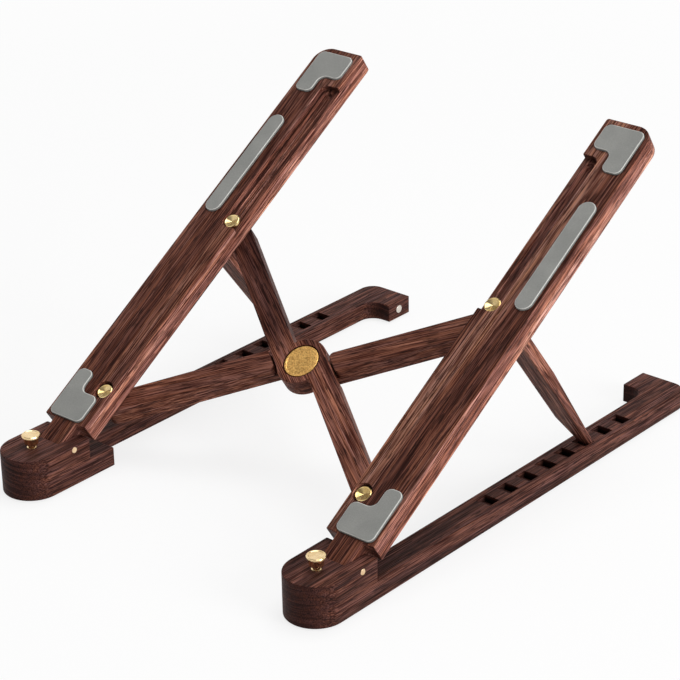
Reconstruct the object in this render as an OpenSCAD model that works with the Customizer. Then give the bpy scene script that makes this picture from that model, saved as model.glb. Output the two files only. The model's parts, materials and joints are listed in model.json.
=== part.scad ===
// Folding wooden laptop stand: two base bars, two tilting rails, and a scissor between the rails
// that sets the width. A strut under each rail stands in a row of pockets and sets the tilt.
// X runs across the stand, Y from the front to the back, and Z up from the desk.

/* [Base bars] */
// Length of a base bar, from its round nose to its back end
base_l = 250.5; // [235:0.5:270]
// Width of the hinge block at the front
block_w = 25.9; // [25:0.1:32]
// Length of the hinge block, nose included
block_l = 34.8; // [31:0.1:38]
// Height of the hinge block
block_h = 18.6; // [17.6:0.1:21]
// Length of the wide front part at bar height, nose included
ledge_l = 48.4; // [40:0.1:50]
// Width of the bar behind the wide part
bar_w = 12.9; // [12:0.1:16]
// Height of the bar
bar_h = 8.6; // [7:0.1:9]
// Length of the hook at the back, along the bar
hook_l = 15.5; // [12:0.5:18]
// Reach of the hook inwards, from the bar's outer face
hook_reach = 24.4; // [20:0.1:25.5]
// Radius of the hollow corner between the bar and the hook
hook_fillet_r = 7; // [2:0.5:7]
// Radius of the hook's outer corner
hook_corner_r = 7; // [3:0.5:10]

/* [Pockets for the struts] */
// Number of pockets in a bar
pocket_count = 8; // [2:1:8]
// Pocket that the strut stands in, counted from the front
pocket_used = 6; // [4:1:8]
// Distance from the nose to the upright wall of the first pocket
first_pocket = 114.95; // [112:0.05:117]
// Distance from one pocket to the next
pocket_pitch = 13.35; // [12.5:0.05:14]
// Length of a pocket, from its upright wall to the top of its ramp
pocket_l = 6.6; // [5:0.1:8]
// Width of a pocket
pocket_w = 7.3; // [7:0.1:9]
// Depth of a pocket at its upright wall
pocket_depth = 3.2; // [2.5:0.1:4]
// Wood left between a pocket and the outer face
pocket_wall = 2.5; // [2:0.1:3]

/* [Rails] */
// Length of a rail, tongue left out
rail_l = 217.8; // [212:0.1:220]
// Width of a rail
rail_w = 24.5; // [23:0.1:24.8]
// Thickness of a rail
rail_h = 9.2; // [8.8:0.1:10]
// Distance from the hinge pin to the rail's lower end
rail_gap = 10; // [9.5:0.1:12]
// Radius of the outer corner at the upper end
rail_corner_r = 8; // [2:0.5:8]
// Radius of the inner corner at the upper end
rail_inner_r = 1.2; // [0.4:0.1:3]
// Length of the tongue at its full height, in front of the rail
throat_l = 4; // [2:0.5:6]
// Width of the tongue that fits in the block
tongue_w = 12.8; // [10:0.1:15]
// Clearance on each side of the tongue
tongue_gap = 0.3; // [0.1:0.05:0.6]

/* [Hinges at the front] */
// Distance from the nose to the hinge pin
hinge_setback = 26; // [25:0.1:27]
// Height of the hinge pin above the underside of the block
hinge_h = 16.4; // [15.8:0.1:17]
// Diameter of the hinge pin
hinge_d = 2.8; // [2:0.1:3]
// Radius of the tongue's round end
tongue_r = 3; // [2.2:0.1:3.4]
// Clearance in front of the tongue's round end
tongue_end_gap = 0.4; // [0.2:0.1:0.8]
// Radial clearance of every pin that turns in its hole
pin_gap = 0.05; // [0.02:0.01:0.09]

/* [Scissor] */
// Distance from the hub to each pin of an arm
arm_reach = 87.2; // [85:0.1:88]
// Width of an arm
arm_w = 10.8; // [9.5:0.1:11]
// Thickness of an arm
arm_h = 9; // [7.6:0.1:9]
// Gap between the arms and the underside of the rails
arm_gap = 0.25; // [0.1:0.05:0.4]
// Angle between an arm's pin line and the X axis when the stand is open
open_angle = 33.9; // [30:0.1:38]
// Gap that stays between the two blocks when the scissor is closed
closed_gap = 1.1; // [0.6:0.1:4]
// Gap between the two halves of the lap joint
lap_gap = 0.2; // [0.1:0.05:0.5]
// Gap between an arm's shoulder and the other arm when the stand is open
shoulder_gap = 0.8; // [0.1:0.1:1.5]
// Radius of the shoulder's corners
shoulder_r = 2; // [0.5:0.5:4]
// Distance from the rail's lower end to the pivot pin
pivot_at = 19.5; // [18:0.1:20]
// Distance from the rail's inner side to both pins
pin_inset = 4.8; // [4.5:0.1:5.5]

/* [Turned pins] */
// Diameter of a pin's shank
pin_d = 4; // [3:0.1:4.5]
// Diameter of a pin's head
head_d = 7.2; // [5.5:0.1:7.4]
// Height of a pin's head
head_h = 1.6; // [1.2:0.1:1.8]
// Width of the flat rim of a pin's head
rim_w = 0.5; // [0.3:0.1:1]
// Depth of the dish in a pin's head
dish_depth = 0.8; // [0.4:0.1:1]
// Diameter of the flat at the bottom of the dish
dish_flat_d = 0.4; // [0.2:0.1:1]
// Depth of the counterbore and of the slide recess under the heads
recess_depth = 2.5; // [2:0.1:2.8]
// Clearance round a pivot pin's head in its counterbore
counterbore_gap = 0.75; // [0.2:0.05:0.9]
// Clearance on each side of a slide pin in its slot
slot_gap = 0.08; // [0.05:0.01:0.3]
// Clearance between a slide pin's head and the sides of its recess
recess_gap = 0.15; // [0.1:0.05:0.9]
// Radius of the recess's outer corners
recess_r = 3.4; // [1:0.1:3.6]
// Diameter of the screws that hold the pins from below
screw_d = 2.4; // [2:0.1:2.6]
// Length of thread that a screw has in its pin
screw_l = 6; // [4:0.5:8]
// Diameter of a screw's head
screw_head_d = 6.8; // [5:0.1:7]
// Height of a screw's head
screw_head_h = 1.6; // [1:0.1:1.8]

/* [Hub] */
// Diameter of the round hub
hub_d = 22.5; // [21:0.1:23]
// Diameter of the brass cover disc
disc_d = 15.5; // [13:0.1:17]
// Height of the cover disc
disc_h = 1.3; // [0.8:0.1:1.4]
// Width of the dark ring round the cover disc
disc_ring = 0.55; // [0.2:0.05:1]
// Diameter of the hub bolt
bolt_d = 6; // [4:0.1:7]
// Diameter of the bolt's flange and of its cap
flange_d = 11; // [9:0.1:12]
// Height of the bolt's flange
flange_h = 1; // [0.6:0.1:1.1]
// Height of the cap below
cap_h = 1.3; // [1:0.1:1.4]
// Diameter of the cap's spigot inside the bolt
spigot_d = 3; // [2:0.1:3.5]
// Length of the cap's spigot
spigot_l = 3; // [2:0.5:4]
// Size of the bevel on the disc's outer edge
disc_edge = 0.2; // [0.1:0.05:0.4]
// Width of the disc's raised rim, bevel left out
disc_rim = 0.7; // [0.4:0.1:1.2]
// Depth of the disc's face below its rim
disc_face_sink = 0.1; // [0.05:0.05:0.3]

/* [Struts] */
// Distance from the rail's lower end to the strut's hinge
strut_at = 110; // [108:0.5:112]
// Depth of the strut's hinge below the rail's top
strut_depth = 6.5; // [6.2:0.1:6.6]
// Length of a strut, from its hinge to the back corner of its foot
strut_l = 87.7; // [84:0.1:90]
// Width of a strut
strut_w = 10.8; // [9:0.1:11]
// Thickness of a strut at its hinge
strut_t = 5.5; // [4.5:0.1:5.5]
// Distance from the hinge to where the strut starts to get thinner
taper_from = 33; // [20:1:50]
// Thickness of a strut at its foot
foot_t = 2.4; // [2:0.1:3.5]
// Width of a strut at its foot
foot_w = 6.9; // [5:0.1:7]
// Thickness of the foot behind its contact corner
foot_heel = 0.8; // [0.4:0.1:1.2]
// Length over which a strut narrows to its foot
narrow_l = 15; // [12:1:36]
// Length of the foot that keeps one width
foot_l = 6; // [5:0.5:12]
// Clearance between the foot and the pocket's upright wall
foot_gap = 0.45; // [0.4:0.05:0.6]
// Height of the foot's back corner above the pocket's lowest edge
foot_floor_gap = 0.5; // [0.4:0.1:0.8]
// Diameter of a strut's hinge pin
strut_pin_d = 2.4; // [2:0.1:3]
// Clearance round the strut in the rail's channel
channel_gap = 0.3; // [0.2:0.05:0.5]
// Depth to which the strut's pin enters the rail on each side of the channel
pin_hold = 1.2; // [0.8:0.1:1.4]

/* [Silicone pads] */
// Height of a pad above the rail
pad_proud = 1.1; // [0.6:0.1:2]
// Depth of the recess that a pad sits in
pad_recess = 0.6; // [0.3:0.1:0.8]
// Gap round a pad in its recess
pad_gap = 0.1; // [0.05:0.05:0.2]
// Radius of a pad's corners
pad_r = 3; // [1:0.1:3]
// Radius of the hollow corner of an L-shaped pad
pad_inner_r = 3.5; // [1:0.1:4]
// Inner edge of the lower pad, from the rail's inner side
lower_pad_in = 3.9; // [3:0.1:6]
// Outer edge of the lower pad, from the rail's inner side
lower_pad_out = 22.9; // [21:0.1:23]
// Inner edge of the lower pad's leg
lower_leg_in = 14.6; // [13:0.1:16]
// Lower end of the lower pad, from the rail's lower end
lower_pad_from = 0.8; // [0.6:0.1:3]
// Upper end of the lower pad's wide part
lower_pad_to = 14.8; // [12:0.1:14.9]
// Upper end of the lower pad's leg
lower_leg_to = 25.2; // [22:0.1:30]
// Inner edge of the middle pad
middle_pad_in = 14.3; // [12:0.1:15]
// Outer edge of the middle pad
middle_pad_out = 22.5; // [21:0.1:23]
// Lower end of the middle pad
middle_pad_from = 117.6; // [100:0.1:125]
// Upper end of the middle pad
middle_pad_to = 175.1; // [160:0.1:180]
// Inner edge of the upper pad
upper_pad_in = 2.3; // [1:0.1:4]
// Outer edge of the upper pad
upper_pad_out = 22; // [20:0.1:23]
// Inner edge of the upper pad's leg
upper_leg_in = 12.6; // [11:0.1:14]
// Lower end of the upper pad's leg
upper_leg_from = 191.2; // [185:0.1:195]
// Lower end of the upper pad's wide part
upper_pad_from = 201.3; // [200:0.1:203]
// Gap between the upper pad and the rail's upper end
upper_pad_end = 3.2; // [1:0.1:4]

/* [Knobs, magnets and feet] */
// Distance from the nose to a knob's centre
knob_setback = 13.7; // [11:0.1:15]
// Diameter of a knob's head
knob_d = 8; // [6:0.1:9]
// Height of a knob above the block
knob_h = 6.25; // [5:0.05:8]
// Height of the knob's straight rim
knob_rim_h = 1; // [0.6:0.1:2]
// Diameter of the body just under the rim
knob_body_d = 6.8; // [5:0.1:8]
// Diameter of the body at its lower end
knob_low_d = 5.8; // [4.5:0.1:7]
// Diameter of the knob's neck
knob_neck_d = 3.1; // [2.5:0.1:5]
// Height of the neck, base included
knob_neck_h = 1.7; // [1.2:0.1:2.5]
// Diameter of the knob's base on the block
knob_base_d = 4.2; // [3.5:0.1:7]
// Height of a knob's base
knob_base_h = 0.6; // [0.4:0.1:1.2]
// Size of the chamfers on a knob
knob_edge = 0.3; // [0.1:0.1:0.6]
// Diameter of the knob's stud in the block
knob_stud_d = 3; // [2:0.1:3.5]
// Length of the knob's stud
knob_stud_l = 8; // [5:0.5:12]
// Diameter of the magnet in the hook's end
magnet_d = 4; // [3:0.1:5]
// Thickness of the magnet
magnet_t = 2; // [1:0.1:3]
// Width of the silicone feet
foot_pad_w = 9; // [6:0.5:10]
// Corner radius of the silicone feet
foot_pad_r = 3; // [1:0.5:4]
// Length of the silicone feet
foot_pad_l = 18; // [12:0.5:20]
// Thickness of the silicone feet
foot_pad_t = 1.4; // [1:0.1:2]
// Height of the feet below the wood
foot_proud = 0.4; // [0.3:0.1:0.9]
// Wood left in front of the front foot and behind the back foot
foot_margin = 4; // [3:0.5:6]

/* [Hidden] */
$fn = 64;
eps = 0.01;
// How far a shape runs past the face that it opens or joins.
past = 1;
walnut = "#4a2c24";
walnut_arm = "#573429";
brass = "#c9a24a";
silicone = "#8b8f86";
nickel = "#c8c6c0";

// Places across the stand, for the right half.
pin_x = arm_reach * cos(open_angle);
rail_x = pin_x - pin_inset;
mid_x = rail_x + rail_w / 2;
outer_x = mid_x + block_w / 2;
bar_x = outer_x - bar_w;
pocket_x = outer_x - pocket_wall - pocket_w / 2;
nose_y = -base_l / 2;
back_y = base_l / 2;
hook_y = back_y - hook_l;
bottom_z = foot_proud;
bar_z = bottom_z + bar_h;
block_z = bottom_z + block_h;

// Hinge of a rail. Folded flat, the rail's top is level with the block.
hinge_y = nose_y + hinge_setback;
hinge_z = bottom_z + hinge_h;
top_n = block_z - hinge_z;
under_n = top_n - rail_h;
rail_end = rail_gap + rail_l;

// The strut's foot in its pocket gives the tilt: hinge, strut hinge and foot make a triangle.
pocket_back_y = nose_y + first_pocket + (pocket_used - 1) * pocket_pitch;
foot_y = pocket_back_y - foot_gap;
foot_z = bar_z - pocket_depth + foot_floor_gap;
ramp_angle = atan2(pocket_depth, pocket_l);
strut_u = rail_gap + strut_at;
strut_n = top_n - strut_depth;
to_foot = norm([foot_y - hinge_y, foot_z - hinge_z]);
to_strut = norm([strut_u, strut_n]);
hinge_angle = acos((to_foot * to_foot + to_strut * to_strut - strut_l * strut_l) / (2 * to_foot * to_strut));
tilt = hinge_angle + atan2(foot_z - hinge_z, foot_y - hinge_y) - atan2(strut_n, strut_u);
strut_y = hinge_y + strut_u * cos(tilt) - strut_n * sin(tilt);
strut_z = hinge_z + strut_u * sin(tilt) + strut_n * cos(tilt);
// The foot's back corner lies this far in front of the strut's centre line.
foot_offset = strut_t / 2 - foot_heel;
strut_angle = atan2(foot_z - strut_z, foot_y - strut_y) + asin(foot_offset / strut_l);
strut_mid_x = outer_x - pocket_wall - (pocket_w - foot_w) / 2 - strut_w / 2;
channel_w = strut_w + 2 * channel_gap;
channel_n = strut_n + strut_t / 2 + channel_gap;

// Scissor, in the plane of the rails.
pivot_u = rail_gap + pivot_at;
hub_u = pivot_u + arm_reach * sin(open_angle);
slide_u = pivot_u + 2 * arm_reach * sin(open_angle);
closed_x = closed_gap / 2 + block_w / 2 - rail_w / 2 + pin_inset;
closed_angle = acos(closed_x / arm_reach);
slide_end_u = pivot_u + 2 * arm_reach * sin(closed_angle);
strip_angle = asin(arm_w / 2 / arm_reach);
arm_top = under_n - arm_gap;
arm_bottom = arm_top - arm_h;
lap_n = arm_top - arm_h / 2;

// The counterbore and the slide recess follow the heads.
counterbore_d = head_d + 2 * counterbore_gap;
recess_reach = head_d / 2 + recess_gap;

// Heads, screws and bolt, as heights on the rail's normal.
recess_n = top_n - recess_depth;
head_gap = 0.1;
slide_head_n = recess_n + head_gap;
screw_sink = 0.3;
screw_top = arm_bottom + screw_sink + screw_head_h;
bore_gap = 0.4;
cap_top = arm_bottom + screw_sink + cap_h;
disc_sink = 0.1;
disc_bottom = arm_top - disc_sink - disc_h;
flange_bottom = disc_bottom - flange_h;

// Turns the right half's piece into the left half's.
module left() {
    mirror([1, 0, 0]) children();
}

// Rail's frame: X stays, Y runs up the rail from its hinge, and Z stands on its top.
module on_rail() {
    translate([0, hinge_y, hinge_z]) rotate([tilt, 0, 0]) children();
}

// Scissor's frame: the rail's frame, moved to the hub.
module on_hub() {
    on_rail() translate([0, hub_u, 0]) children();
}

// Rectangle from one corner to the other, with round corners.
module round_rect(x0, y0, x1, y1, r) {
    for (x = [x0 + r, x1 - r], y = [y0 + r, y1 - r])
        translate([x, y]) circle(r = r);
    translate([x0 + r, y0]) square([x1 - x0 - 2 * r, y1 - y0]);
    translate([x0, y0 + r]) square([x1 - x0, y1 - y0 - 2 * r]);
}

// Square corner with a hollow round of radius r: it fills the corner at the origin.
module corner_fill(r) {
    difference() {
        translate([-eps, -eps]) square(r + eps);
        translate([r, r]) circle(r = r);
    }
}

// Outline of a base bar, seen from above.
module base_outline() {
    nose_r = block_w / 2;
    difference() {
        union() {
            translate([mid_x, nose_y + nose_r]) circle(r = nose_r);
            translate([outer_x - block_w, nose_y + nose_r]) square([block_w, ledge_l - nose_r]);
            translate([bar_x, nose_y + nose_r]) square([bar_w, base_l - nose_r]);
            translate([outer_x - hook_reach, hook_y]) square([hook_reach, hook_l]);
            translate([bar_x, hook_y]) rotate(180) corner_fill(hook_fillet_r);
        }
        translate([outer_x, back_y]) rotate(180) corner_fill(hook_corner_r);
    }
}

// Block on the front of a base bar, seen from above.
module block_outline() {
    nose_r = block_w / 2;
    translate([mid_x, nose_y + nose_r]) circle(r = nose_r);
    translate([outer_x - block_w, nose_y + nose_r]) square([block_w, block_l - nose_r]);
}

// Room for the tongue: open above and behind, with a hollow front wall about the hinge.
module tongue_slot() {
    slot_w = tongue_w + 2 * tongue_gap;
    slot_r = tongue_r + tongue_end_gap;
    slot_l = block_l - hinge_setback + past;
    translate([mid_x - slot_w / 2, hinge_y, hinge_z]) {
        rotate([0, 90, 0]) cylinder(r = slot_r, h = slot_w);
        translate([0, -slot_r, 0]) cube([slot_w, slot_r + slot_l, block_h]);
        translate([0, 0, bar_z - hinge_z]) cube([slot_w, slot_l, block_h]);
    }
}

// One pocket: an upright back wall, and a ramp that rises to the front.
module pocket(back_y) {
    translate([pocket_x - pocket_w / 2, back_y, bar_z])
        rotate([90, 0, 90])
            linear_extrude(pocket_w)
                polygon([[0, past], [0, -pocket_depth], [-pocket_l, 0], [-pocket_l, past]]);
}

// Outlines of the feet, which lie in shallow recesses under the base bar.
module front_foot_outline() {
    y0 = nose_y + foot_margin;
    round_rect(mid_x - foot_pad_w / 2, y0, mid_x + foot_pad_w / 2, y0 + foot_pad_l, foot_pad_r);
}

module back_foot_outline() {
    y1 = back_y - foot_margin;
    x0 = outer_x - hook_reach + foot_margin;
    round_rect(x0, y1 - foot_pad_w, x0 + foot_pad_l, y1, foot_pad_r);
}

module base_bar() {
    color(walnut) difference() {
        union() {
            translate([0, 0, bottom_z]) linear_extrude(bar_h) base_outline();
            translate([0, 0, bottom_z]) linear_extrude(block_h) block_outline();
        }
        tongue_slot();
        translate([outer_x - block_w - past, hinge_y, hinge_z])
            rotate([0, 90, 0]) cylinder(d = hinge_d, h = block_w + 2 * past);
        translate([mid_x, nose_y + knob_setback, block_z - knob_stud_l])
            cylinder(d = knob_stud_d, h = knob_stud_l + past);
        for (i = [0 : pocket_count - 1])
            pocket(nose_y + first_pocket + i * pocket_pitch);
        translate([outer_x - hook_reach - past, hook_y + hook_l / 2, bottom_z + bar_h / 2])
            rotate([0, 90, 0]) cylinder(d = magnet_d, h = magnet_t + past);
        linear_extrude(foot_pad_t) front_foot_outline();
        linear_extrude(foot_pad_t) back_foot_outline();
    }
}

module hinge_pin() {
    color(brass) translate([outer_x - block_w, hinge_y, hinge_z])
        rotate([0, 90, 0]) cylinder(d = hinge_d, h = block_w);
}

// Turned knob: a stud in the block, a small base, a narrow neck, and a body that widens a
// little to a flat rim.
module knob() {
    rim_z = knob_h - knob_rim_h;
    color(brass) translate([mid_x, nose_y + knob_setback, block_z]) rotate_extrude() polygon([
        [0, -knob_stud_l], [knob_stud_d / 2, -knob_stud_l], [knob_stud_d / 2, 0],
        [knob_base_d / 2, 0], [knob_base_d / 2, knob_base_h], [knob_neck_d / 2, knob_base_h],
        [knob_neck_d / 2, knob_neck_h], [knob_low_d / 2 - knob_edge, knob_neck_h],
        [knob_low_d / 2, knob_neck_h + knob_edge], [knob_body_d / 2, rim_z],
        [knob_d / 2, rim_z], [knob_d / 2, knob_h - knob_edge],
        [knob_d / 2 - knob_edge, knob_h], [0, knob_h]
    ]);
}

module magnet() {
    color(nickel) translate([outer_x - hook_reach, hook_y + hook_l / 2, bottom_z + bar_h / 2])
        rotate([0, 90, 0]) cylinder(d = magnet_d, h = magnet_t);
}

module front_foot() {
    color(silicone) linear_extrude(foot_pad_t) front_foot_outline();
}

module back_foot() {
    color(silicone) linear_extrude(foot_pad_t) back_foot_outline();
}

// Outline of a rail in its own frame. Its lower end is square.
module rail_outline() {
    difference() {
        translate([rail_x, rail_gap]) square([rail_w, rail_l]);
        translate([rail_x + rail_w, rail_end]) rotate(180) corner_fill(rail_corner_r);
        translate([rail_x, rail_end]) rotate(-90) corner_fill(rail_inner_r);
    }
}

// Side profile of the tongue, from its round end at the hinge to the rail's lower end.
module tongue_profile() {
    difference() {
        union() {
            circle(r = tongue_r);
            polygon([[0, top_n], [rail_gap + past, top_n], [rail_gap + past, under_n],
                [rail_gap - throat_l, under_n], [0, -tongue_r]]);
        }
        translate([-rail_gap, top_n]) square(rail_gap * 3);
    }
}

// Recess for a slide pin's head: open to the rail's inner side, round at its outer corners.
module slide_recess() {
    u0 = slide_u - recess_reach;
    u1 = slide_end_u + recess_reach;
    x1 = pin_x + recess_reach;
    translate([0, 0, recess_n]) linear_extrude(recess_depth + past) {
        translate([rail_x - past, u0]) square([x1 - recess_r - rail_x + past, u1 - u0]);
        round_rect(x1 - 3 * recess_r, u0, x1, u1, recess_r);
    }
}

// Slot for a slide pin's shank, through the rail.
module slide_slot() {
    slot_r = pin_d / 2 + slot_gap;
    for (u = [slide_u, slide_end_u])
        translate([pin_x, u, under_n - past]) cylinder(r = slot_r, h = rail_h + 2 * past);
    translate([pin_x - slot_r, slide_u, under_n - past])
        cube([2 * slot_r, slide_end_u - slide_u, rail_h + 2 * past]);
}

// Channel in the rail's underside that takes the folded strut.
module strut_channel() {
    u0 = strut_u - strut_t / 2 - 2 * channel_gap;
    u1 = strut_u + strut_l + 2 * channel_gap;
    translate([strut_mid_x - channel_w / 2, u0, under_n - past])
        cube([channel_w, u1 - u0, channel_n - under_n + past]);
}

// Outlines of the pads in the rail's frame, grown by a gap for their recesses.
module ell_pad(x0, x1, leg_x, wide_u, end_u, leg_u, gap) {
    low_u = min(wide_u, end_u);
    high_u = max(wide_u, end_u);
    leg_low = min(leg_u, end_u);
    leg_high = max(leg_u, end_u);
    round_rect(x0 - gap, low_u - gap, x1 + gap, high_u + gap, pad_r);
    round_rect(leg_x - gap, leg_low - gap, x1 + gap, leg_high + gap, pad_r);
    fill_r = pad_inner_r - gap;
    if (leg_u > wide_u)
        translate([leg_x - gap, wide_u + gap]) rotate(90) corner_fill(fill_r);
    else
        translate([leg_x - gap, wide_u - gap]) rotate(180) corner_fill(fill_r);
}

module lower_pad_outline(gap) {
    ell_pad(rail_x + lower_pad_in, rail_x + lower_pad_out, rail_x + lower_leg_in,
        rail_gap + lower_pad_to, rail_gap + lower_pad_from, rail_gap + lower_leg_to, gap);
}

module upper_pad_outline(gap) {
    ell_pad(rail_x + upper_pad_in, rail_x + upper_pad_out, rail_x + upper_leg_in,
        rail_gap + upper_pad_from, rail_end - upper_pad_end, rail_gap + upper_leg_from, gap);
}

module middle_pad_outline(gap) {
    round_rect(rail_x + middle_pad_in - gap, rail_gap + middle_pad_from - gap,
        rail_x + middle_pad_out + gap, rail_gap + middle_pad_to + gap,
        (middle_pad_out - middle_pad_in) / 2 + gap - eps);
}

module rail() {
    color(walnut) on_rail() difference() {
        union() {
            translate([0, 0, under_n]) linear_extrude(rail_h) rail_outline();
            translate([mid_x - tongue_w / 2, 0, 0])
                rotate([90, 0, 90]) linear_extrude(tongue_w) tongue_profile();
        }
        translate([mid_x - tongue_w, 0, 0])
            rotate([0, 90, 0]) cylinder(r = hinge_d / 2 + pin_gap, h = 2 * tongue_w);
        translate([pin_x, pivot_u, under_n - past]) cylinder(d = pin_d, h = rail_h + 2 * past);
        translate([pin_x, pivot_u, recess_n]) cylinder(d = counterbore_d, h = recess_depth + past);
        slide_recess();
        slide_slot();
        strut_channel();
        translate([strut_mid_x - channel_w / 2 - pin_hold, strut_u, strut_n])
            rotate([0, 90, 0]) cylinder(d = strut_pin_d, h = channel_w + 2 * pin_hold);
        translate([0, 0, top_n - pad_recess]) linear_extrude(pad_recess + past) {
            lower_pad_outline(pad_gap);
            middle_pad_outline(pad_gap);
            upper_pad_outline(pad_gap);
        }
    }
}

// One silicone pad: it fills its recess and stands proud of the rail.
module pad() {
    color(silicone) on_rail() translate([0, 0, top_n - pad_recess])
        linear_extrude(pad_recess + pad_proud) children();
}

// Turned pin with a dished head. The head's underside is at head_n.
module turned_pin(u, head_n) {
    color(brass) on_rail() translate([pin_x, u, 0]) difference() {
        union() {
            translate([0, 0, screw_top]) cylinder(d = pin_d, h = head_n - screw_top);
            translate([0, 0, head_n]) cylinder(d = head_d, h = head_h);
        }
        translate([0, 0, head_n + head_h]) rotate([180, 0, 0])
            cylinder(r1 = head_d / 2 - rim_w, r2 = dish_flat_d / 2, h = dish_depth);
        translate([0, 0, screw_top - past]) cylinder(d = screw_d, h = screw_l + past);
    }
}

// Screw that holds a turned pin from below, in the arm's counterbore.
module pin_screw(u) {
    color(brass) on_rail() translate([pin_x, u, screw_top]) {
        translate([0, 0, -screw_head_h]) cylinder(d = screw_head_d, h = screw_head_h);
        translate([0, 0, -eps]) cylinder(d = screw_d, h = screw_l + eps);
    }
}

// Hinge pin of a strut, held in both walls of the channel.
module strut_pin() {
    color(brass) on_rail() translate([strut_mid_x - channel_w / 2 - pin_hold, strut_u, strut_n])
        rotate([0, 90, 0]) cylinder(d = strut_pin_d, h = channel_w + 2 * pin_hold);
}

// Side of a strut: straight in front, and thinner behind towards the foot. X runs to the foot.
module strut_profile() {
    front = -strut_t / 2;
    slope = (strut_t - foot_t) / (strut_l - taper_from);
    end = strut_l + strut_t;
    circle(r = strut_t / 2);
    polygon([[0, front], [end, front], [end, strut_t / 2 - slope * (end - taper_from)],
        [taper_from, strut_t / 2], [0, strut_t / 2]]);
}

module strut() {
    inner = strut_mid_x - strut_w / 2;
    cut_x = inner - past;
    cut_w = strut_w + 2 * past;
    narrow = strut_w - foot_w;
    long_cut = 4 * strut_t;
    color(walnut_arm) difference() {
        translate([0, strut_y, strut_z]) rotate([strut_angle, 0, 0]) difference() {
            translate([inner, 0, 0]) rotate([90, 0, 90]) linear_extrude(strut_w) strut_profile();
            translate([0, 0, -strut_t]) linear_extrude(2 * strut_t)
                polygon([[cut_x, strut_l - foot_l - narrow_l], [inner, strut_l - foot_l - narrow_l],
                    [inner + narrow, strut_l - foot_l], [inner + narrow, strut_l + long_cut],
                    [cut_x, strut_l + long_cut]]);
            translate([cut_x, 0, 0]) rotate([0, 90, 0])
                cylinder(r = strut_pin_d / 2 + pin_gap, h = cut_w);
        }
        translate([cut_x, foot_y, foot_z]) rotate([-ramp_angle, 0, 0])
            translate([0, -long_cut, -long_cut]) cube([cut_w, 2 * long_cut, long_cut]);
        translate([cut_x, foot_y, foot_z - long_cut]) cube([cut_w, long_cut, 2 * long_cut]);
    }
}

// One half of an arm, seen from above, from the hub to its round end. Its straight side away
// from the other arm runs through the hub's centre, and its pin is on its centre line.
module arm_half() {
    rotate(open_angle + strip_angle) {
        translate([0, -arm_w]) square([arm_reach * cos(strip_angle), arm_w]);
        translate([arm_reach * cos(strip_angle), -arm_w / 2]) circle(d = arm_w);
    }
}

module arm_outline() {
    circle(d = hub_d);
    arm_half();
    rotate(180) arm_half();
}

// What is cut off a corner at the origin to round it. The corner's sides lie along X and, by an
// angle, clockwise from X. The round crosses the sides at a slight angle, for a clean edge.
module corner_cut(angle, r) {
    side = r / tan(angle / 2);
    over = 0.02;
    difference() {
        polygon([[-over, over], [side, over], [side, -r],
            [side * cos(angle) - over * sin(angle), -side * sin(angle) - over * cos(angle)],
            [-over * sin(angle), -over * cos(angle)]]);
        translate([side, -r]) circle(r = r + over);
    }
}

// What an arm gives up to the other one in the lap joint: the hub's circle, and the strips that
// the other arm covers when the stand is open. The shoulders that stay have round corners.
module lap_outline() {
    strip = open_angle + strip_angle;
    cover = arm_w + shoulder_gap;
    near_x = cover / sin(2 * strip);
    far_x = near_x + arm_w / tan(2 * strip);
    circle(r = hub_d / 2 + shoulder_gap);
    for (turn = [0, 180]) rotate(turn) {
        rotate(-strip) square([3 * arm_w, cover]);
        rotate(strip) {
            translate([near_x, 0]) corner_cut(2 * strip, shoulder_r);
            translate([far_x, -arm_w]) mirror([0, 1]) corner_cut(180 - 2 * strip, shoulder_r);
        }
    }
}

// Arm from the lower left to the upper right, as a plain bar with its pin holes.
module arm_blank() {
    difference() {
        translate([0, 0, arm_bottom]) linear_extrude(arm_h) arm_outline();
        for (turn = [0, 180])
            rotate(turn) rotate(open_angle) translate([arm_reach, 0, arm_bottom - past]) cylinder(
                d = screw_head_d + 2 * bore_gap, h = screw_top + head_gap - arm_bottom + past);
    }
}

// Hole for a pin that the arm turns about, and hole for a slide pin that is fixed in the arm.
module pivot_hole() {
    rotate(180 + open_angle) translate([arm_reach, 0, arm_bottom - past])
        cylinder(r = pin_d / 2 + pin_gap, h = arm_h + 2 * past);
}

module slide_hole() {
    rotate(open_angle) translate([arm_reach, 0, arm_bottom - past])
        cylinder(d = pin_d, h = arm_h + 2 * past);
}

// Arm A lies under arm B at the hub. It runs from the left pivot pin to the right slide pin.
module arm_a() {
    color(walnut_arm) on_hub() difference() {
        arm_blank();
        translate([0, 0, lap_n - lap_gap / 2]) linear_extrude(arm_h) lap_outline();
        pivot_hole();
        slide_hole();
        translate([0, 0, arm_bottom - past])
            cylinder(r = bolt_d / 2 + pin_gap, h = arm_h + 2 * past);
        translate([0, 0, arm_bottom - past])
            cylinder(d = flange_d + 2 * bore_gap, h = cap_top + head_gap - arm_bottom + past);
    }
}

// Arm B lies over arm A at the hub. It runs from the right pivot pin to the left slide pin.
module arm_b() {
    color(walnut_arm) on_hub() mirror([1, 0, 0]) difference() {
        arm_blank();
        translate([0, 0, lap_n + lap_gap / 2 - arm_h]) linear_extrude(arm_h) lap_outline();
        pivot_hole();
        slide_hole();
        translate([0, 0, arm_bottom]) cylinder(d = bolt_d, h = arm_h + past);
        translate([0, 0, flange_bottom]) cylinder(d = flange_d, h = arm_h);
        translate([0, 0, disc_bottom]) cylinder(d = disc_d + 2 * disc_ring, h = arm_h);
    }
}

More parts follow.
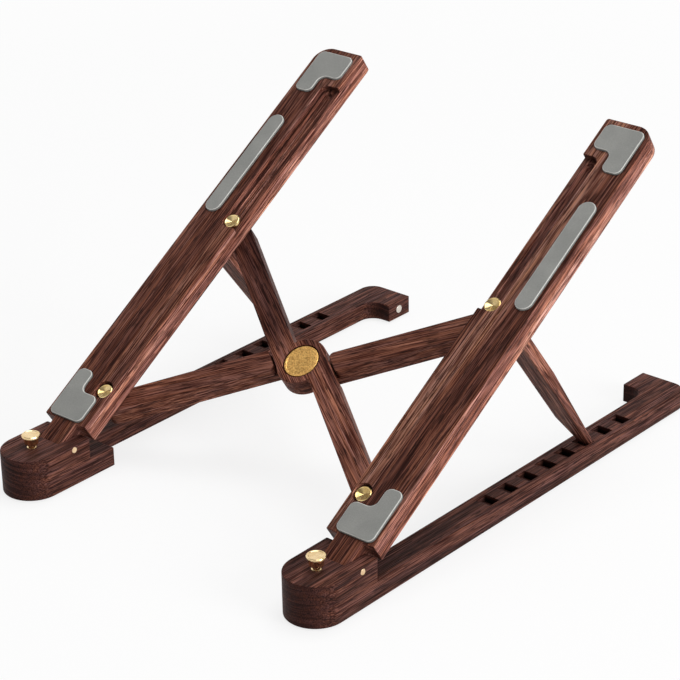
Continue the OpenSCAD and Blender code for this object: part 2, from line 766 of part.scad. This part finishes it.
// Cover disc: a flat face inside a low rim.
module hub_disc() {
    disc_r = disc_d / 2;
    face_r = disc_r - disc_edge - disc_rim;
    face_h = disc_h - disc_face_sink;
    color(brass) on_hub() translate([0, 0, disc_bottom]) rotate_extrude() polygon([
        [0, 0], [disc_r, 0], [disc_r, disc_h - disc_edge], [disc_r - disc_edge, disc_h],
        [face_r, disc_h], [face_r - disc_face_sink, face_h], [0, face_h]
    ]);
}

// Bolt that arm A turns about. It is fixed in arm B, and its flange is under the cover disc.
module hub_bolt() {
    color(brass) on_hub() difference() {
        union() {
            translate([0, 0, flange_bottom]) cylinder(d = flange_d, h = flange_h);
            translate([0, 0, cap_top]) cylinder(d = bolt_d, h = flange_bottom - cap_top + eps);
        }
        translate([0, 0, cap_top - past]) cylinder(d = spigot_d, h = spigot_l + past);
    }
}

module hub_cap() {
    color(brass) on_hub() {
        translate([0, 0, cap_top - cap_h]) cylinder(d = flange_d, h = cap_h);
        translate([0, 0, cap_top - eps]) cylinder(d = spigot_d, h = spigot_l + eps);
    }
}

base_bar();  // right_base
left() base_bar();  // left_base
rail();  // right_rail
left() rail();  // left_rail
arm_a();
arm_b();
strut();  // right_strut
left() strut();  // left_strut
knob();  // right_knob
left() knob();  // left_knob
hinge_pin();  // right_hinge_pin
left() hinge_pin();  // left_hinge_pin
turned_pin(pivot_u, recess_n);  // right_pivot_pin
left() turned_pin(pivot_u, recess_n);  // left_pivot_pin
turned_pin(slide_u, slide_head_n);  // right_slide_pin
left() turned_pin(slide_u, slide_head_n);  // left_slide_pin
pin_screw(pivot_u);  // right_pivot_screw
left() pin_screw(pivot_u);  // left_pivot_screw
pin_screw(slide_u);  // right_slide_screw
left() pin_screw(slide_u);  // left_slide_screw
strut_pin();  // right_strut_pin
left() strut_pin();  // left_strut_pin
hub_disc();
hub_bolt();
hub_cap();
pad() lower_pad_outline(0);  // right_lower_pad
left() pad() lower_pad_outline(0);  // left_lower_pad
pad() middle_pad_outline(0);  // right_middle_pad
left() pad() middle_pad_outline(0);  // left_middle_pad
pad() upper_pad_outline(0);  // right_upper_pad
left() pad() upper_pad_outline(0);  // left_upper_pad
magnet();  // right_magnet
left() magnet();  // left_magnet
front_foot();  // right_front_foot
left() front_foot();  // left_front_foot
back_foot();  // right_back_foot
left() back_foot();  // left_back_foot
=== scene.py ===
import json
from math import radians, tau

import bmesh
import bpy
from mathutils import Euler, Matrix, Vector


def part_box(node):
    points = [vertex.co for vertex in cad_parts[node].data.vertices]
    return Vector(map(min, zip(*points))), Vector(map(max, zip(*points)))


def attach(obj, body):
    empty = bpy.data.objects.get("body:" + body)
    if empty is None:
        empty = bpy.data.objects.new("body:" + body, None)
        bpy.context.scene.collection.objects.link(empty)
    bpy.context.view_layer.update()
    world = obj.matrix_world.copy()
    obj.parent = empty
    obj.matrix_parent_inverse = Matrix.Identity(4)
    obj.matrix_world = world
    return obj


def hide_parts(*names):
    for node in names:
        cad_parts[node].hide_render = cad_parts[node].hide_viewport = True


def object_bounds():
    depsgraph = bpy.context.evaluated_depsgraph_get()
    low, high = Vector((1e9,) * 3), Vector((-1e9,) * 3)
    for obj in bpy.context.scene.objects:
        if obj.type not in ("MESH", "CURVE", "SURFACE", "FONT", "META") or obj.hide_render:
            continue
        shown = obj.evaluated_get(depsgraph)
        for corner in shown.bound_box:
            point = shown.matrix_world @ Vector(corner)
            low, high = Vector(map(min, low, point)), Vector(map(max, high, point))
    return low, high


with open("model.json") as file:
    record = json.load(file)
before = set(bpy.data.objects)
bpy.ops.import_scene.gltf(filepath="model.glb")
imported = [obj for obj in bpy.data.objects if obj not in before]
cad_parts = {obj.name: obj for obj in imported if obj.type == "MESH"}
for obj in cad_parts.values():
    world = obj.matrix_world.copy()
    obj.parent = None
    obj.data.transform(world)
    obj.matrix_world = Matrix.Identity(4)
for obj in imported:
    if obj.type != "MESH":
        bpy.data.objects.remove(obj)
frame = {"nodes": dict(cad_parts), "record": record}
solid_box = [list(corner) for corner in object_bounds()]


# Camera, low over the right front, looking down at the open stand.
# A long lens from about a metre away keeps the two rails almost parallel.
eye_place = (0.60979, -0.69808, 0.48591)
eye_turn = radians(41.316)
eye_drop = radians(25.122)
eye_roll = radians(-1.204)

eye = bpy.data.objects.new("eye", bpy.data.cameras.new("eye"))
eye.data.lens = 126.83
eye.data.sensor_width = 36
eye.matrix_world = (
    Matrix.Translation(eye_place)
    @ Matrix.Rotation(eye_turn, 4, "Z")
    @ Matrix.Rotation(tau / 4 - eye_drop, 4, "X")
    @ Matrix.Rotation(eye_roll, 4, "Z")
)
bpy.context.scene.collection.objects.link(eye)
bpy.context.scene.camera = eye
bpy.context.scene.view_settings.view_transform = "Standard"


# Studio light: a wide softbox high overhead, one on the right that brightens
# the outer sides, and a white room whose ceiling is darker than its walls.
def feed(tree, socket, value):
    """Gives a socket its value, or links it to the output that feeds it."""
    if isinstance(value, bpy.types.NodeSocket):
        tree.links.new(value, socket)
    else:
        socket.default_value = value


def put(tree, kind, settings=None, **sockets):
    """Adds a shader node. Spaces in a socket's name are written as underscores."""
    node = tree.nodes.new("ShaderNode" + kind)
    for key, value in (settings or {}).items():
        setattr(node, key, value)
    for key, value in sockets.items():
        feed(tree, node.inputs[key.replace("_", " ")], value)
    return node


def sums(tree, operation, first, second=0.0):
    """Works out first and second, numbers or outputs, with a Math node."""
    node = tree.nodes.new("ShaderNodeMath")
    node.operation = operation
    feed(tree, node.inputs[0], first)
    feed(tree, node.inputs[1], second)
    return node.outputs[0]


def times(tree, first, second):
    return sums(tree, "MULTIPLY", first, second)


def eases(tree, value, start, stop, low, high):
    """Goes smoothly from low to high as value goes from start to stop."""
    return put(
        tree, "MapRange", {"interpolation_type": "SMOOTHSTEP"}, Value=value,
        From_Min=start, From_Max=stop, To_Min=low, To_Max=high,
    ).outputs["Result"]


def seen_directly(tree):
    """1 for what the camera sees, straight or in gloss, and 0 for plain light."""
    path = put(tree, "LightPath").outputs
    gloss = sums(tree, "MAXIMUM", path["Is Glossy Ray"], path["Is Transmission Ray"])
    return sums(tree, "MAXIMUM", path["Is Camera Ray"], gloss)


def softbox(name, place, size, power):
    """A soft square lamp at place that faces the middle of the stand."""
    lamp = bpy.data.objects.new(name, bpy.data.lights.new(name, "AREA"))
    lamp.data.shape = "RECTANGLE"
    lamp.data.size = size
    lamp.data.size_y = size
    lamp.data.energy = power
    lamp.location = place
    lamp.rotation_euler = (Vector(place) - stand_middle).to_track_quat("Z", "Y").to_euler()
    bpy.context.scene.collection.objects.link(lamp)


stand_middle = Vector((0, 0, 0.06))
softbox("overhead_box", (0.2, 0.5, 2.6), 1.8, 38.0)
softbox("right_box", (2.5, 0.1, 0.95), 1.3, 38.0)

wall_light = 1.0
wall_top = 0.5
ceiling_light = 0.2
ceiling_start = 0.85
fill_light = 0.34

room = bpy.data.worlds.new("room")
bpy.context.scene.world = room
room.use_nodes = True
air = room.node_tree
air.nodes["Background"].inputs["Color"].default_value = (1, 1, 1, 1)
outwards = put(air, "TexCoord").outputs["Generated"]
height = put(air, "SeparateXYZ", Vector=outwards).outputs["Z"]
ceiling = eases(air, height, wall_top, ceiling_start, wall_light, ceiling_light)
direct = seen_directly(air)
shown = times(air, direct, ceiling)
fill = times(air, sums(air, "SUBTRACT", 1.0, direct), fill_light)
feed(air, air.nodes["Background"].inputs["Strength"], sums(air, "ADD", shown, fill))


# White studio floor under the stand. It keeps a faint soft shadow near the bars,
# so they are seen to rest on it, and fades to plain white further out.
floor_reach = 4.0
floor_gap = 0.0002
floor_shadow = 0.2
shadow_reach = (0.4, 1.1)


def length_of(tree, vector):
    node = put(tree, "VectorMath", {"operation": "LENGTH"})
    feed(tree, node.inputs[0], vector)
    return node.outputs["Value"]


paint = bpy.data.materials.new("floor_paint")
paint.use_nodes = True
tree = paint.node_tree
matt = put(tree, "BsdfDiffuse", Color=(0.93, 0.93, 0.93, 1)).outputs[0]
bright = put(tree, "Emission", Color=(1, 1, 1, 1), Strength=1.0).outputs[0]
far = length_of(tree, put(tree, "TexCoord").outputs["Object"])
plain = eases(tree, far, *shadow_reach, 1 - floor_shadow, 1.0)
mixed = put(tree, "MixShader", Fac=times(tree, seen_directly(tree), plain))
feed(tree, mixed.inputs[1], matt)
feed(tree, mixed.inputs[2], bright)
feed(tree, tree.nodes["Material Output"].inputs["Surface"], mixed.outputs[0])

floor_mesh = bpy.data.meshes.new("floor")
bm = bmesh.new()
bmesh.ops.create_grid(bm, x_segments=1, y_segments=1, size=floor_reach)
bmesh.ops.translate(bm, verts=bm.verts, vec=(0, 0, solid_box[0][2] - floor_gap))
bm.to_mesh(floor_mesh)
bm.free()
floor = bpy.data.objects.new("floor", floor_mesh)
floor_mesh.materials.append(paint)
bpy.context.scene.collection.objects.link(floor)


# Base bars, one on each side: solid walnut, milled with the block, the row of
# pockets and the hook in one piece, then sanded, oiled and lightly eased.
base_edge = 0.00045
base_small_edge = 0.00015

# Walnut's figure: widths across the fibres and lengths along them, and its tones.
ring_sway = 0.03
ring_sway_size = (0.03, 0.16)
streak_size = (0.0006, 0.14)
layer_size = (0.03, 0.09, 0.0012)
blush_size = (0.0016, 0.05)
thread_size = (0.00042, 0.02)
pore_size = (0.0004, 0.007)
tone_places = (0.30, 0.46, 0.57, 0.73)
purple_blush, orange_blush = (0.93, 0.98, 1.08), (1.08, 1.02, 0.90)
dark_thread, tan_thread = (0.30, 0.20, 0.18), (1.75, 2.00, 2.05)
end_calm = 0.75
pore_brown = (0.010, 0.004, 0.003, 1)
pore_share = 0.72
grazing_shade_tint = (0.36, 0.34, 0.37, 1)
end_grain = (0.46, 0.43, 0.45, 1)
ray_face_and_side_light = (2.60, 2.80, 3.00, 1)
painted_shade_reach = 0.003
fibre_relief = 0.00012


def noise(tree, coordinates, detail=2.0, roughness=0.5):
    """Soft cloudy noise, one cell to each unit of the coordinates."""
    return put(
        tree, "TexNoise", Vector=coordinates, Scale=1.0, Detail=detail, Roughness=roughness
    ).outputs["Fac"]


def ramp(tree, share, stops):
    """Colours along a share, as (place, colour) stops."""
    node = put(tree, "ValToRGB", Fac=share)
    while len(node.color_ramp.elements) < len(stops):
        node.color_ramp.elements.new(0.5)
    for element, (place, colour) in zip(node.color_ramp.elements, stops):
        element.position = place
        element.color = (*colour, 1)
    return node.outputs["Color"]


def grey(value):
    return (value,) * 3


def blend_in(tree, share, first, second, how="MIX"):
    """Mixes a share of second into first."""
    return put(
        tree, "MixRGB", {"blend_type": how}, Fac=share, Color1=first, Color2=second
    ).outputs["Color"]


def walnut(name, turn, cut, tones, ring_gap, lit_flank=0.0, recess_shade=0.25, shade_run=None):
    """Oiled black walnut. turn lays the fibres along Y, and cut is where in the log
    the piece comes from. Sides facing across the piece are paler by the flank
    share, partly their ray figure and partly painted light. Hollows get painted
    shade, dimmed to a share. Between the two given points of the shaded run,
    painted shade darkens the wood. Metres throughout, so the figure has its real scale."""
    material = bpy.data.materials.new(name)
    material.use_nodes = True
    tree = material.node_tree
    shader = tree.nodes["Principled BSDF"]
    where = put(tree, "TexCoord").outputs
    grain = put(
        tree, "Mapping", Vector=where["Object"], Rotation=turn, Location=cut
    ).outputs[0]

    def stretched(*sizes):
        scale = [1 / size for size in sizes]
        return put(tree, "Mapping", Vector=grain, Scale=scale).outputs[0]

    def along(width, length):
        return stretched(width, length, width)

    def tinted(share, tint):
        """The colour so far, multiplied by a tint in a share of the surface."""
        return blend_in(tree, share, colour, tint, "MULTIPLY")

    # Year rings round the log's pith, which wander a little along the board.
    wander = sums(tree, "SUBTRACT", noise(tree, along(*ring_sway_size)), 0.5)
    parts = put(tree, "SeparateXYZ", Vector=grain).outputs
    across = sums(tree, "ADD", parts["X"], times(tree, wander, ring_sway))
    from_pith = put(tree, "CombineXYZ", X=across, Z=parts["Z"]).outputs[0]
    years = sums(tree, "DIVIDE", length_of(tree, from_pith), ring_gap)
    rings = put(
        tree, "TexNoise", {"noise_dimensions": "1D"},
        W=years, Scale=1.0, Detail=3.0, Roughness=0.6,
    ).outputs["Fac"]
    streaks = noise(tree, along(*streak_size), 3.0, 0.6)
    lengthwise = sums(tree, "ADD", times(tree, rings, 0.5), times(tree, streaks, 0.5))

    # Where the board is cut across, its layers show as flat bands.
    normal = put(tree, "Mapping", Vector=where["Normal"], Rotation=turn).outputs[0]
    facing = put(tree, "SeparateXYZ", Vector=normal).outputs
    end = sums(tree, "POWER", sums(tree, "ABSOLUTE", facing["Y"]), 1.5)
    bands = noise(tree, stretched(*layer_size), 3.0, 0.65)
    change = times(tree, sums(tree, "SUBTRACT", bands, lengthwise), end)
    tone = sums(tree, "ADD", lengthwise, change)
    colour = ramp(tree, tone, list(zip(tone_places, tones)))

    # Threads of orange and of purple brown, fine tan fibres, and dark open pores.
    blush = noise(tree, along(*blush_size))
    colour = tinted(1.0, ramp(tree, blush, [(0.38, purple_blush), (0.62, orange_blush)]))
    fibre = noise(tree, along(*thread_size), 1.0, 0.5)
    threads = ramp(tree, fibre, [(0.36, dark_thread), (0.64, tan_thread)])
    seen = sums(tree, "SUBTRACT", 1.0, times(tree, end, end_calm))
    colour = tinted(seen, threads)
    pits = noise(tree, along(*pore_size), 1.0)
    pore = ramp(tree, pits, [(0.57, grey(0)), (0.62, grey(1))])
    colour = blend_in(tree, times(tree, pore, pore_share), colour, pore_brown)

    # Painted shade: between the two points the colour darkens, where the arm is lit at grazing.
    if shade_run:
        start, stop = ((Euler(turn).to_matrix() @ point).y + cut[1] for point in shade_run)
        share = eases(tree, parts["Y"], start, stop, 0.0, 1.0)
        colour = blend_in(tree, share, colour, tinted(1.0, grazing_shade_tint))

    # Ends drink more oil and go darker. Sides facing across the piece are paler, partly their
    # ray figure and partly painted light.
    colour = blend_in(tree, end, colour, tinted(1.0, end_grain))
    if lit_flank:
        side = times(tree, sums(tree, "ABSOLUTE", facing["X"]), lit_flank)
        colour = blend_in(tree, side, colour, tinted(1.0, ray_face_and_side_light))

    # Painted shade: the colour is darkened in cut corners, pockets and recesses, found with an
    # ambient occlusion mask.
    corner = put(
        tree, "AmbientOcclusion", {"samples": 8, "only_local": True}, Distance=painted_shade_reach
    ).outputs["AO"]
    colour = tinted(1.0, ramp(tree, corner, [(0.25, grey(recess_shade)), (0.85, grey(1))]))
    feed(tree, shader.inputs["Base Color"], colour)
    sheen = ramp(tree, fibre, [(0.3, grey(0.62)), (0.7, grey(0.46))])
    feed(tree, shader.inputs["Roughness"], sheen)
    shader.inputs["Specular IOR Level"].default_value = 0.06
    relief = sums(tree, "SUBTRACT", fibre, times(tree, pore, 0.6))
    bump = put(tree, "Bump", Strength=0.4, Distance=fibre_relief, Height=relief)
    feed(tree, shader.inputs["Normal"], bump.outputs[0])
    return material


merge_gap = 2e-6
flat_angle = radians(0.6)
corner_angle = radians(28)
shading_angle = radians(12)
long_run = 0.16


def stand_for(node, suffix, bm, body, finish):
    """Makes the finished mesh an object of its own that stands for a CAD piece."""
    mesh = bpy.data.meshes.new(node + suffix)
    bm.to_mesh(mesh)
    bm.free()
    mesh.materials.append(finish)
    piece = bpy.data.objects.new(node + suffix, mesh)
    bpy.context.scene.collection.objects.link(piece)
    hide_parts(node)
    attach(piece, body)
    return piece


def eased(node, body, finish, edge, small_edge):
    """A CAD piece with its corners eased. Runs of edges longer than long_run get
    the full edge, and rims of holes and recesses the small one."""
    bm = bmesh.new()
    bm.from_mesh(frame["nodes"][node].data)
    bmesh.ops.remove_doubles(bm, verts=bm.verts, dist=merge_gap)
    bmesh.ops.dissolve_limit(bm, angle_limit=flat_angle, verts=bm.verts, edges=bm.edges)
    waiting = {
        e for e in bm.edges if e.is_manifold and e.calc_face_angle_signed() > corner_angle
    }
    runs = {edge: [], small_edge: []}
    while waiting:
        run, front = set(), [waiting.pop()]
        while front:
            e = front.pop()
            run.add(e)
            for near in {n for v in e.verts for n in v.link_edges} & waiting:
                waiting.remove(near)
                front.append(near)
        runs[edge if sum(e.calc_length() for e in run) > long_run else small_edge] += run
    rounded = set()
    for offset in sorted(runs):
        made = bmesh.ops.bevel(
            bm,
            geom=runs[offset],
            offset=offset,
            offset_type="OFFSET",
            affect="EDGES",
            segments=3 if offset == edge else 2,
            profile=0.5,
            material=-1,
            clamp_overlap=False,
            loop_slide=True,
        )
        rounded.update(made["faces"])
    rounded = {f for f in rounded if f.is_valid}
    for f in bm.faces:
        f.smooth = True
    for e in bm.edges:
        by_corner = any(f in rounded for f in e.link_faces)
        e.smooth = e.calc_face_angle(0) < shading_angle or by_corner
    piece = stand_for(node, "_shaped", bm, body, finish)
    piece.modifiers.new("even_shading", "WEIGHTED_NORMAL").keep_sharp = True


base_tones = [
    (0.030, 0.0108, 0.0083), (0.070, 0.0242, 0.0182),
    (0.117, 0.041, 0.030), (0.180, 0.068, 0.049),
]
for side, turn, cut in (
    ("right", (0, radians(5), radians(0.8)), (0.01, 0.3, 0.09)),
    ("left", (0, radians(-7), radians(-0.6)), (-0.01, 1.4, 0.085)),
):
    node = side + "_base"
    # The last number sets how dark the painted shade goes in the pockets and hook.
    wood = walnut("walnut_base_" + side, turn, cut, base_tones, ring_gap=0.004, recess_shade=0.1)
    eased(node, node, wood, base_edge, base_small_edge)


# Rails, one on each side: solid walnut boards that carry the laptop. Each has
# its tongue, recesses and slot milled in, and flat sides sawn along the rays.
rail_edge = 0.00045
rail_small_edge = 0.0001
laptop_side = next(m for m in frame["record"]["mounts"] if m["name"] == "laptop_right")
rail_normal = Vector(laptop_side["axis"])
rail_lean = Vector((0, 0, 1)).angle(rail_normal)

rail_tones = [
    (0.034, 0.0095, 0.0060), (0.104, 0.0330, 0.0215),
    (0.184, 0.070, 0.047), (0.275, 0.122, 0.082),
]
for side, slant, cut, ring_gap in (
    ("right", radians(1.2), (-0.028, 0.5, 0.03), 0.008),
    ("left", radians(-0.8), (0.115, 2.2, 0.05), 0.007),
):
    node = side + "_rail"
    turn = (-rail_lean, 0, slant)
    # The flank share pales the sides, partly ray figure and partly painted light.
    wood = walnut("walnut_rail_" + side, turn, cut, rail_tones, ring_gap, lit_flank=0.9)
    eased(node, node, wood, rail_edge, rail_small_edge)


# Scissor arms: two crossed walnut bars, half-lapped at the round hub, with their
# fibres from pin to pin. Arm B is paler, and painted shade darkens its left half, where it is
# lit at grazing.
arm_edge = 0.0004
arm_small_edge = 0.00012
arm_open = radians(33.9)
arm_tones = [
    (0.050, 0.0160, 0.0112), (0.122, 0.0405, 0.0270),
    (0.200, 0.073, 0.049), (0.285, 0.117, 0.079),
]
paleness = 1.3
pale_arm_tones = [tuple(part * paleness for part in tone) for tone in arm_tones]
# Painted shade on arm B, from a little past the hub to its left slide pin, where it is lit at
# grazing.
shade_start_share = 0.3
hub_end, pin_end = (
    sum((Vector(corner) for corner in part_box(node)), Vector()) / 2
    for node in ("hub_disc", "left_slide_pin")
)
shade_run = (hub_end, hub_end.lerp(pin_end, shade_start_share))
for arm, slant, cut, tones, dark_run in (
    ("arm_a", tau / 4 - arm_open, (0.03, 3.1, 0.04), arm_tones, None),
    ("arm_b", arm_open - tau / 4, (-0.04, 4.3, 0.05), pale_arm_tones, shade_run),
):
    turn = (-rail_lean, 0, slant)
    wood = walnut("walnut_" + arm, turn, cut, tones, ring_gap=0.005, shade_run=dark_run)
    eased(arm, arm, wood, arm_edge, arm_small_edge)


# Struts, one behind each rail: walnut levers that thin towards the foot and
# hold the rail up in one of the base's pockets.
strut_edge = 0.0004
strut_small_edge = 0.00012
strut_lean = radians(52.76)
for side, cut in (("right", (0.02, 5.2, 0.03)), ("left", (-0.03, 6.1, 0.04))):
    node = side + "_strut"
    # The flank share pales the sides, partly ray figure and partly painted light.
    wood = walnut(
        "walnut_strut_" + side, (strut_lean, 0, 0), cut, arm_tones, ring_gap=0.004, lit_flank=0.35
    )
    eased(node, node, wood, strut_edge, strut_small_edge)


# Silicone pads, three in each rail, glued into recesses and a little proud, and
# the feet under the bases. Matt, dusty faces, with a painted highlight that makes the eased rim
# paler.
pad_edge = 0.0005
silicone_dark, silicone_pale = (0.250, 0.252, 0.238), (0.288, 0.288, 0.272)
rim_highlight_strength = 2.2

silicone = bpy.data.materials.new("grey_silicone")
silicone.use_nodes = True
tree = silicone.node_tree
shader = tree.nodes["Principled BSDF"]
where = put(tree, "TexCoord").outputs
place = where["Object"]


def mottle(tree, place, size, detail=2.0):
    """Noise whose cells are size wide in every direction."""
    spread = put(tree, "Mapping", Vector=place, Scale=(1 / size,) * 3).outputs[0]
    return noise(tree, spread, detail)


cloud = ramp(tree, mottle(tree, place, 0.012), [(0.35, silicone_dark), (0.65, silicone_pale)])
speck = ramp(tree, mottle(tree, place, 0.0005), [(0.3, grey(0.93)), (0.7, grey(1.07))])
# Painted highlight: the colour is paler where the surface turns away from the pad's face, on
# its eased rim.
flatness = put(tree, "VectorMath", {"operation": "DOT_PRODUCT"})
feed(tree, flatness.inputs[0], where["Normal"])
flatness.inputs[1].default_value = rail_normal
rim_highlight_tint = ramp(
    tree, flatness.outputs["Value"],
    [(0.3, grey(0.85)), (0.5, grey(rim_highlight_strength)), (0.92, grey(rim_highlight_strength)), (0.98, grey(1))],
)
face = blend_in(tree, 1.0, cloud, speck, "MULTIPLY")
feed(tree, shader.inputs["Base Color"], blend_in(tree, 1.0, face, rim_highlight_tint, "MULTIPLY"))
shader.inputs["Roughness"].default_value = 0.72
shader.inputs["Specular IOR Level"].default_value = 0.3
shader.inputs["Sheen Weight"].default_value = 0.08
skin = put(tree, "Bump", Strength=0.25, Distance=0.00006, Height=mottle(tree, place, 0.0004))
feed(tree, shader.inputs["Normal"], skin.outputs[0])

for side in ("right", "left"):
    for part in ("lower", "middle", "upper"):
        eased(f"{side}_{part}_pad", side + "_rail", silicone, pad_edge, pad_edge)
    for end in ("front", "back"):
        eased(f"{side}_{end}_foot", side + "_base", silicone, pad_edge, pad_edge)


# Pins of the scissor: turned brass, with a raised rim and a dished face that
# keeps the fine rings of the tool. Small brass screws hold them from below.
turning_angle = radians(25)
same_point = 1e-6


def turned(node, body, outline, axis, finish, steps=72):
    """Spins an outline of (radius, height) about a node's axis, with height 0 at
    its outer end, to stand for that node."""
    corners = [v.co for v in frame["nodes"][node].data.vertices]
    to_axis = axis.to_track_quat("Z", "Y").to_matrix()
    spans = [sorted(c.dot(to_axis.col[i]) for c in corners) for i in range(3)]
    centre = to_axis @ Vector(
        ((spans[0][0] + spans[0][-1]) / 2, (spans[1][0] + spans[1][-1]) / 2, spans[2][-1])
    )
    bm = bmesh.new()
    line = [bm.verts.new((radius, 0, height)) for radius, height in outline]
    for pair in zip(line, line[1:]):
        bm.edges.new(pair)
    bmesh.ops.spin(
        bm, geom=bm.verts[:] + bm.edges[:], cent=(0, 0, 0), axis=(0, 0, 1), angle=tau,
        steps=steps, use_merge=True,
    )
    bmesh.ops.remove_doubles(bm, verts=bm.verts, dist=same_point)
    bmesh.ops.recalc_face_normals(bm, faces=bm.faces)
    in_place = Matrix.Translation(centre) @ to_axis.to_4x4()
    bmesh.ops.transform(bm, matrix=in_place, verts=bm.verts)
    for f in bm.faces:
        f.smooth = True
    for e in bm.edges:
        e.smooth = e.calc_face_angle(0) < turning_angle
    stand_for(node, "_turned", bm, body, finish)


def length_along(node, axis):
    """How far a CAD piece reaches along an axis."""
    heights = [v.co.dot(axis) for v in frame["nodes"][node].data.vertices]
    return max(heights) - min(heights)


def metal_finish(name, light, dark, roughness, grain_size, grain_depth, tarnish_size=0.004):
    """Metal with faint tarnish, fine wear in its polish, and a grain in its face."""
    material = bpy.data.materials.new(name)
    material.use_nodes = True
    tree = material.node_tree
    shader = tree.nodes["Principled BSDF"]
    place = put(tree, "TexCoord").outputs["Object"]
    tarnish = mottle(tree, place, tarnish_size, 3.0)
    feed(tree, shader.inputs["Base Color"], ramp(tree, tarnish, [(0.35, dark), (0.62, light)]))
    shader.inputs["Metallic"].default_value = 1.0
    wear = mottle(tree, place, 0.0015)
    worn = [(0.35, grey(roughness + 0.08)), (0.65, grey(roughness - 0.06))]
    feed(tree, shader.inputs["Roughness"], ramp(tree, wear, worn))
    grain = mottle(tree, place, grain_size)
    face = put(tree, "Bump", Strength=0.5, Distance=grain_depth, Height=grain)
    feed(tree, shader.inputs["Normal"], face.outputs[0])
    return material


def refinish(node, finish):
    """Gives a CAD piece that is shown as it is a better material."""
    frame["nodes"][node].data.materials.clear()
    frame["nodes"][node].data.materials.append(finish)


brass = metal_finish(
    "turned_brass", (0.92, 0.70, 0.35), (0.68, 0.47, 0.18),
    roughness=0.16, grain_size=0.0003, grain_depth=0.00001,
)

pin_head = 0.0036
pin_head_height = 0.0016
pin_shank = 0.0020
rim_width = 0.0005
dish_depth = 0.00068
ring_count = 9
ring_depth = 0.00004


def pin_outline(length):
    """Half a pin's section, from the bottom of its shank to the bottom of its dish."""
    outline = [
        (0, -length), (pin_shank, -length), (pin_shank, -pin_head_height),
        (pin_head - 0.0002, -pin_head_height), (pin_head, -pin_head_height + 0.0002),
        (pin_head, -0.00035), (pin_head - 0.0001, -0.00012), (pin_head - 0.00032, 0),
        (pin_head - rim_width, 0), (pin_head - rim_width - 0.00015, -0.0001),
    ]
    reach = pin_head - rim_width - 0.00015
    for i in range(1, ring_count * 2):
        part = i / (ring_count * 2)
        low = -0.0001 - dish_depth * part
        outline.append((reach * (1 - part), low - (ring_depth if i % 2 else 0)))
    outline.append((0, -0.0001 - dish_depth))
    return outline


for side, pin, body in (
    ("right", "pivot", "right_rail"), ("left", "pivot", "left_rail"),
    ("right", "slide", "arm_a"), ("left", "slide", "arm_b"),
):
    node = f"{side}_{pin}_pin"
    turned(node, body, pin_outline(length_along(node, rail_normal)), rail_normal, brass)
    refinish(f"{side}_{pin}_screw", brass)


# Hinge pins of the rails and struts: plain brass rod, pressed in and dressed
# flush, so only their small round ends show on the sides of the blocks.
pale_brass = metal_finish(
    "dressed_brass", (0.86, 0.64, 0.40), (0.70, 0.46, 0.24),
    roughness=0.34, grain_size=0.0002, grain_depth=0.00002,
)
rod_edge = 0.0002
sideways = Vector((1, 0, 0))
backwards = Vector((0, 1, 0))


def rod_outline(node):
    """Half a rod's section, with its two ends lightly chamfered."""
    length = length_along(node, sideways)
    thick = length_along(node, backwards) / 2
    return [
        (0, -length), (thick - rod_edge, -length), (thick, -length + rod_edge),
        (thick, -rod_edge), (thick - rod_edge, 0), (0, 0),
    ]


for side in ("right", "left"):
    for pin, body in (("_hinge_pin", "_base"), ("_strut_pin", "_rail")):
        node = side + pin
        turned(node, side + body, rod_outline(node), sideways, pale_brass)


# Knobs: polished brass on a small foot and a narrow neck, with a body that widens
# to a thin rim, screwed into the top of each block.
polished = metal_finish(
    "polished_brass", (0.92, 0.72, 0.42), (0.80, 0.57, 0.29),
    roughness=0.16, grain_size=0.0004, grain_depth=0.000006,
)
knob_radius = 0.004
knob_height = 0.00625
knob_stud = 0.0015
upright = Vector((0, 0, 1))
for side in ("right", "left"):
    node = side + "_knob"
    end = -length_along(node, upright)
    foot = -knob_height
    turned(
        node, side + "_base",
        [
            (0, end), (knob_stud, end), (knob_stud, foot), (0.0021, foot),
            (0.0021, foot + 0.0004), (0.0019, foot + 0.0006),
            (0.00158, foot + 0.0008), (0.00155, foot + 0.0016),
            (0.0024, foot + 0.00172), (0.0027, foot + 0.0018), (0.0029, foot + 0.00205),
            (0.0034, -0.00112), (0.00355, -0.001), (knob_radius - 0.0001, -0.001),
            (knob_radius, -0.0009), (knob_radius, -0.00035),
            (knob_radius - 0.0001, -0.00015), (knob_radius - 0.0003, 0),
            (knob_radius - 0.0008, 0), (knob_radius - 0.001, -0.0001), (0, -0.00014),
        ],
        upright, polished,
    )


# Hub: a brass bolt joins the two arms. Its cover disc is sand-cast and matt with a
# bright rim, set in a ring-shaped gap, and a flat cap closes the bolt below.
hub_brass = metal_finish(
    "sanded_brass", (1.0, 0.62, 0.200), (0.58, 0.300, 0.085),
    roughness=0.42, grain_size=0.0005, grain_depth=0.00012, tarnish_size=0.0007,
)
disc_radius = 0.00775
thick = length_along("hub_disc", rail_normal)
turned(
    "hub_disc", "arm_b",
    [
        (0, -thick), (disc_radius, -thick),
        (disc_radius, -0.0003), (disc_radius - 0.0001, -0.0001),
        (disc_radius - 0.0003, 0), (disc_radius - 0.0007, 0),
        (disc_radius - 0.0009, -0.00006), (disc_radius - 0.0011, -0.00014),
        (disc_radius - 0.0013, -0.00012), (0, -0.00012),
    ],
    rail_normal, hub_brass, steps=96,
)
for node in ("hub_bolt", "hub_cap"):
    refinish(node, brass)


# Magnets: small nickel-plated discs glued in the ends of the hooks. They hold the
# two bases together when the stand is folded.
nickel = metal_finish(
    "nickel_plate", (0.74, 0.69, 0.62), (0.64, 0.58, 0.52),
    roughness=0.3, grain_size=0.0003, grain_depth=0.00001,
)
magnet_edge = 0.0002
for side in ("right", "left"):
    eased(side + "_magnet", side + "_base", nickel, magnet_edge, magnet_edge)


bpy.context.view_layer.update()
